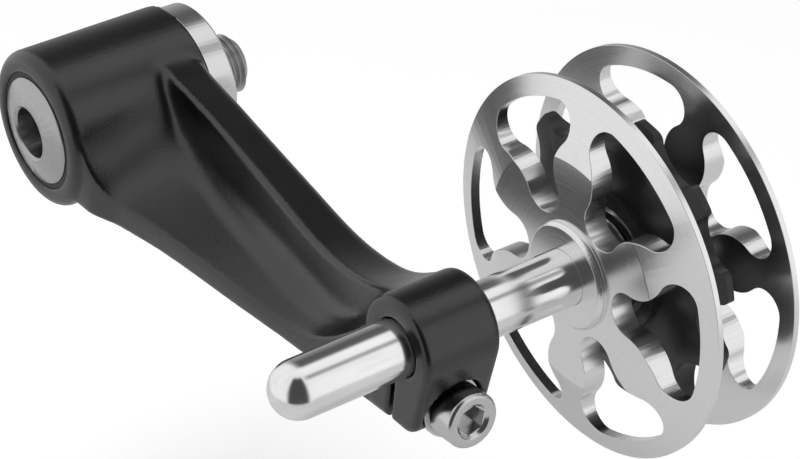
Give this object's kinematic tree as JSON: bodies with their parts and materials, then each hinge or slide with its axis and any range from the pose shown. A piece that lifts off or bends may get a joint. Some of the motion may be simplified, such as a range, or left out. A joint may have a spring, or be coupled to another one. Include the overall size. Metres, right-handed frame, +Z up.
{
  "type": "chain tensioner",
  "caption": "Sprung chain tensioner: a black forged arm on a hanger stud, with a sliding axle that carries a toothed pulley between two pierced bright side plates.",
  "frame": {"origin": "on the pivot axis, where the stud's shoulder and the collar meet the bicycle's hanger", "axes": "+Y along the stud into the hanger, +X along the arm to the pulley axis, +Z up"},
  "size_m": [0.1303, 0.0757, 0.058],
  "materials": {
    "arm_black": "satin black coat, lightly textured",
    "bright_steel": "bright stainless, turned",
    "turned_steel": "fine turned, satin",
    "polished_steel": "drawn and polished rod",
    "bright_aluminium": "machined bright, clear",
    "spring_steel": "dark oiled wire",
    "bearing_steel": "ground and polished",
    "bush_bronze": "plain sintered bronze",
    "seal_rubber": "matt black",
    "pulley_black": "moulded black, satin",
    "cage_plastic": "moulded, dark"
  },
  "bodies": {
    "hanger_side": {"pivot_bolt": "bright_steel", "spring_collar": "turned_steel", "retaining_ring": "spring_steel", "thrust_washer": "bush_bronze", "torsion_spring": "spring_steel"},
    "arm_body": {"arm": "arm_black", "front_bush": "bush_bronze", "rear_bush": "bush_bronze", "dust_seal": "seal_rubber", "clamp_screw": "bright_steel", "clamp_washer": "bright_steel"},
    "axle_body": {"pulley_axle": "polished_steel", "front_plate": "bright_aluminium", "rear_plate": "bright_aluminium", "front_spacer": "turned_steel", "rear_spacer": "turned_steel", "bearing_inner_ring": "bearing_steel", "end_washer": "bright_steel", "end_screw": "bright_steel"},
    "pulley_body": {"pulley_wheel": "pulley_black", "bearing_outer_ring": "bearing_steel", "front_shield": "seal_rubber", "rear_shield": "seal_rubber"},
    "cage_body": {"bearing_balls": "bearing_steel", "bearing_cage": "cage_plastic"}
  },
  "joints": [
    {"name": "arm_pivot", "type": "hinge", "parent": "hanger_side", "child": "arm_body", "pos_m": [0, 0, 0], "axis": [0, 1, 0], "range_deg": [-45, 45], "stiffness_Nm_per_rad": 0.35, "deforming": ["torsion_spring"]},
    {"name": "axle_slide", "type": "slide", "parent": "arm_body", "child": "axle_body", "axis": [0, 1, 0], "range_m": [-0.014, 0.014]},
    {"name": "pulley_spin", "type": "hinge", "parent": "axle_body", "child": "pulley_body", "pos_m": [0.0884, 0.01655, 0], "axis": [0, 1, 0], "continuous": true},
    {"name": "cage_orbit", "type": "hinge", "parent": "axle_body", "child": "cage_body", "pos_m": [0.0884, 0.01655, 0], "axis": [0, 1, 0], "continuous": true}
  ],
  "couplings": [
    {"joint": "cage_orbit", "follows": "pulley_spin", "ratio": 0.6185}
  ]
}
